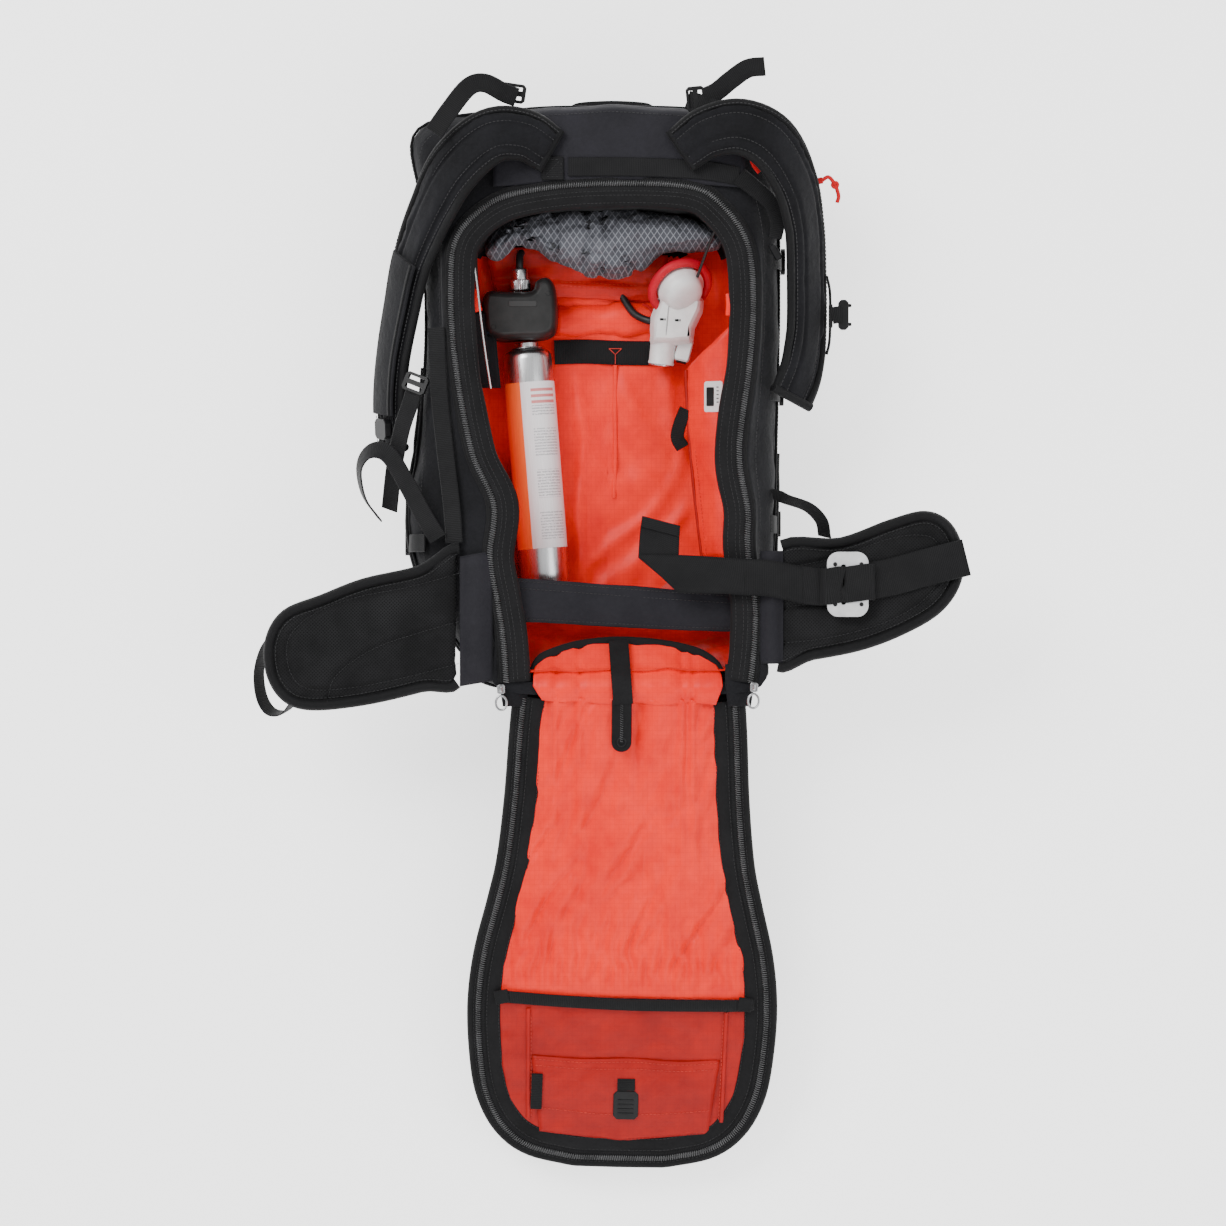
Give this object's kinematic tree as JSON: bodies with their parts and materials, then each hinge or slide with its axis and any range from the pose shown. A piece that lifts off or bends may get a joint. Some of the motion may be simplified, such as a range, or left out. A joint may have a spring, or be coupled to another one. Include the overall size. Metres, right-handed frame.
{
  "type": "avalanche airbag backpack",
  "caption": "Snow-safety backpack with an inflatable airbag system, opened at the back: gas cartridge and inflation head in a lined cavity, fold-out back panel, harness and hip belt.",
  "frame": {"origin": "on the flat underside of the front pocket, under the middle of the body", "axes": "+Y to the top of the pack, +Z from the front of the pack to the wearer's side, which faces up"},
  "size_m": [0.7496, 1.1759, 0.2024],
  "materials": {
    "airbag_fabric": "woven",
    "band_fabric": "woven",
    "black_fabric": "woven",
    "black_plastic": "satin",
    "black_webbing": "woven",
    "cartridge_metal": "brushed",
    "collar_rubber": "matte",
    "dark_red_lining": "woven",
    "hose_rubber": "matte",
    "label_paper": "satin",
    "mesh_fabric": "woven",
    "panel_foam": "woven",
    "red_cord": "woven",
    "red_lining": "woven",
    "steel": "brushed",
    "white_plastic": "satin",
    "zip_coil": "satin",
    "zip_metal": "brushed"
  },
  "bodies": {
    "pack": {"airbag_bundle": "airbag_fabric", "airbag_collar": "collar_rubber", "body_zip_chain": "zip_coil", "cartridge_band": "black_webbing", "ejector_body": "white_plastic", "ejector_inlet": "white_plastic", "ejector_nozzle_ring": "steel", "frame_wire_left": "steel", "frame_wire_right": "steel", "front_pocket": "black_fabric", "hip_webbing_tail": "black_webbing", "inflation_head_base": "black_plastic", "inflation_head_cover": "black_plastic", "inner_lining": "red_lining", "lifter_buckle_left": "black_plastic", "lifter_buckle_right": "black_plastic", "lining_side_pocket": "red_lining", "load_lifter_left": "black_webbing", "load_lifter_right": "black_webbing", "lower_strap_left": "black_webbing", "lower_strap_right": "black_webbing", "lumbar_band": "band_fabric", "main_shell": "black_fabric", "pressure_hose": "hose_rubber", "rim_border": "black_fabric", "side_strap_left": "black_webbing", "trigger_cable": "hose_rubber", "yoke_band": "black_webbing", "yoke_loop": "black_webbing"},
    "back_panel": {"panel_foam": "panel_foam", "panel_board": "black_fabric", "panel_zip_chain": "zip_coil", "panel_pocket": "red_lining", "panel_elastic": "black_webbing", "panel_lower_pocket": "dark_red_lining"},
    "key_hook_body": {"key_hook": "black_plastic"},
    "hip_wing_left": {"hip_pad_left": "mesh_fabric", "hip_tip_loop_left": "black_webbing"},
    "hip_wing_right": {"hip_pad_right": "mesh_fabric", "hip_webbing_outer": "black_webbing", "hip_webbing_inner": "black_webbing"},
    "hip_buckle": {"hip_buckle_plate": "steel"},
    "shoulder_left": {"shoulder_strap_left": "black_fabric", "handle_pocket": "black_fabric", "strap_buckle_left": "black_plastic", "strap_tail_left": "black_webbing"},
    "trigger_grip": {"trigger_handle": "collar_rubber"},
    "shoulder_right": {"shoulder_strap_right": "black_fabric"},
    "sternum_clip_body": {"sternum_clip": "black_plastic"},
    "sternum_buckle_body": {"sternum_buckle": "black_plastic"},
    "pocket_pull": {"pocket_pull_right": "red_cord"},
    "hose_nut_body": {"hose_nut": "steel"},
    "cartridge_carrier": {"cartridge_neck": "steel"},
    "cartridge": {"cartridge_tank": "cartridge_metal", "cartridge_label": "label_paper"},
    "slider_left": {"zip_slider_left": "zip_metal"},
    "slider_right": {"zip_slider_right": "zip_metal"},
    "puller_left": {"zip_puller_left": "zip_metal"},
    "puller_right": {"zip_puller_right": "zip_metal"}
  },
  "joints": [
    {"name": "back_panel_fold", "type": "hinge", "parent": "pack", "child": "back_panel", "pos_m": [0.018, -0.3075, 0.1655], "axis": [-0.9998, -0.0175, 0], "range_deg": [0, 193], "deforming": ["hip_webbing_tail"]},
    {"name": "key_hook_swing", "type": "hinge", "parent": "back_panel", "child": "key_hook_body", "pos_m": [0.01495, -0.73981, 0.06416], "axis": [-0.9998, 0.0209, 0], "range_deg": [0, 120]},
    {"name": "hip_wing_left_fold", "type": "hinge", "parent": "pack", "child": "hip_wing_left", "pos_m": [-0.153, -0.222, 0.1715], "axis": [0, 1, 0], "range_deg": [0, 90]},
    {"name": "hip_wing_right_fold", "type": "hinge", "parent": "pack", "child": "hip_wing_right", "pos_m": [0.1665, -0.215, 0.1715], "axis": [0, -1, 0], "range_deg": [0, 90]},
    {"name": "hip_buckle_flip", "type": "hinge", "parent": "hip_wing_right", "child": "hip_buckle", "pos_m": [0.226, -0.194, 0.183], "axis": [0, -1, 0], "range_deg": [0, 60]},
    {"name": "shoulder_left_lift", "type": "hinge", "parent": "pack", "child": "shoulder_left", "pos_m": [-0.066, 0.275, 0.168], "axis": [-1, 0, 0], "range_deg": [0, 25], "deforming": ["load_lifter_left", "lower_strap_left"]},
    {"name": "shoulder_right_lift", "type": "hinge", "parent": "pack", "child": "shoulder_right", "pos_m": [0.074, 0.275, 0.168], "axis": [-1, 0, 0], "range_deg": [0, 13], "deforming": ["load_lifter_right"]},
    {"name": "trigger_handle_pull", "type": "slide", "parent": "shoulder_left", "child": "trigger_grip", "axis": [0.0305, -0.9907, -0.1328], "range_m": [0, 0.05]},
    {"name": "sternum_clip_slide", "type": "slide", "parent": "shoulder_right", "child": "sternum_clip_body", "axis": [0, 1, 0], "range_m": [-0.012, 0.012]},
    {"name": "sternum_buckle_swing", "type": "hinge", "parent": "sternum_clip_body", "child": "sternum_buckle_body", "pos_m": [0.2365, 0.092, 0.112], "axis": [0, -1, 0], "range_deg": [0, 45]},
    {"name": "pocket_pull_swing", "type": "hinge", "parent": "shoulder_right", "child": "pocket_pull", "pos_m": [0.22, 0.233, 0.138], "axis": [0, 0, 1], "range_deg": [0, 50]},
    {"name": "hose_nut_spin", "type": "hinge", "parent": "pack", "child": "hose_nut_body", "pos_m": [-0.0975, 0.12, 0.083], "axis": [-0.0499, 0.9988, 0], "continuous": true},
    {"name": "cartridge_withdraw", "type": "slide", "parent": "pack", "child": "cartridge_carrier", "axis": [0.0792, -0.9969, 0], "range_m": [0, 0.0121]},
    {"name": "cartridge_unscrew", "type": "hinge", "parent": "cartridge_carrier", "child": "cartridge", "pos_m": [-0.0915, 0.0585, 0.0745], "axis": [0.0792, -0.9969, 0], "range_deg": [0, 2880]},
    {"name": "zip_slider_left_run", "type": "slide", "parent": "pack", "child": "slider_left", "axis": [-0.02, 0.9998, 0], "range_m": [0, 0.05]},
    {"name": "zip_slider_right_run", "type": "slide", "parent": "pack", "child": "slider_right", "axis": [0.0499, 0.9988, 0], "range_m": [0, 0.05]},
    {"name": "zip_puller_left_swing", "type": "hinge", "parent": "slider_left", "child": "puller_left", "pos_m": [-0.11638, -0.3098, 0.1724], "axis": [-0.9998, -0.02, 0], "range_deg": [0, 78]},
    {"name": "zip_puller_right_swing", "type": "hinge", "parent": "slider_right", "child": "puller_right", "pos_m": [0.14871, -0.30779, 0.1724], "axis": [-0.9988, 0.0499, 0], "range_deg": [0, 78]}
  ],
  "couplings": [
    {"joint": "cartridge_withdraw", "follows": "cartridge_unscrew", "m_per_rad": 0.0002387}
  ]
}
